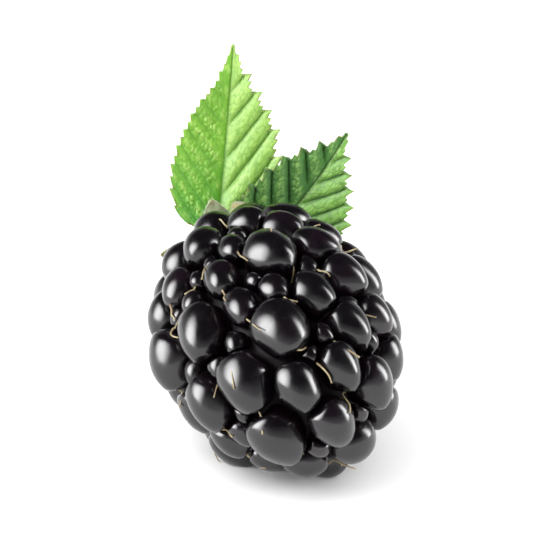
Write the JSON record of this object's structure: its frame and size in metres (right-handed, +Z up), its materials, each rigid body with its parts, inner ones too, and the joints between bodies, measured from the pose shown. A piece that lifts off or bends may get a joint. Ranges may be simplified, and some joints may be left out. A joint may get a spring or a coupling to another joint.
{
  "type": "bramble berry",
  "caption": "Ripe black bramble berry of grown-together drupelets, lying on its side, with its calyx of sepals, cut stalk and toothed leaves.",
  "frame": {"origin": "centre of the footprint, on the surface that the berry rests on", "axes": "+Z up; the fruit's tip points towards -Y and a little to +X and down; the stalk and leaves are behind it at +Y"},
  "size_m": [0.0266, 0.0389, 0.0368],
  "materials": {
    "fruit": "glossy black fruit skin",
    "stalk": "matt green stem with fine hairs",
    "sepals": "woolly grey green",
    "leaf_light": "bright green wrinkled leaf, satin",
    "leaf_dark": "green pleated leaf, satin"
  },
  "bodies": {
    "root": {"berry": "fruit", "stalk": "stalk", "sepal_1": "sepals", "sepal_2": "sepals", "sepal_3": "sepals", "sepal_4": "sepals", "sepal_5": "sepals", "leaf_left": "leaf_light", "leaf_right": "leaf_dark"}
  },
  "joints": []
}
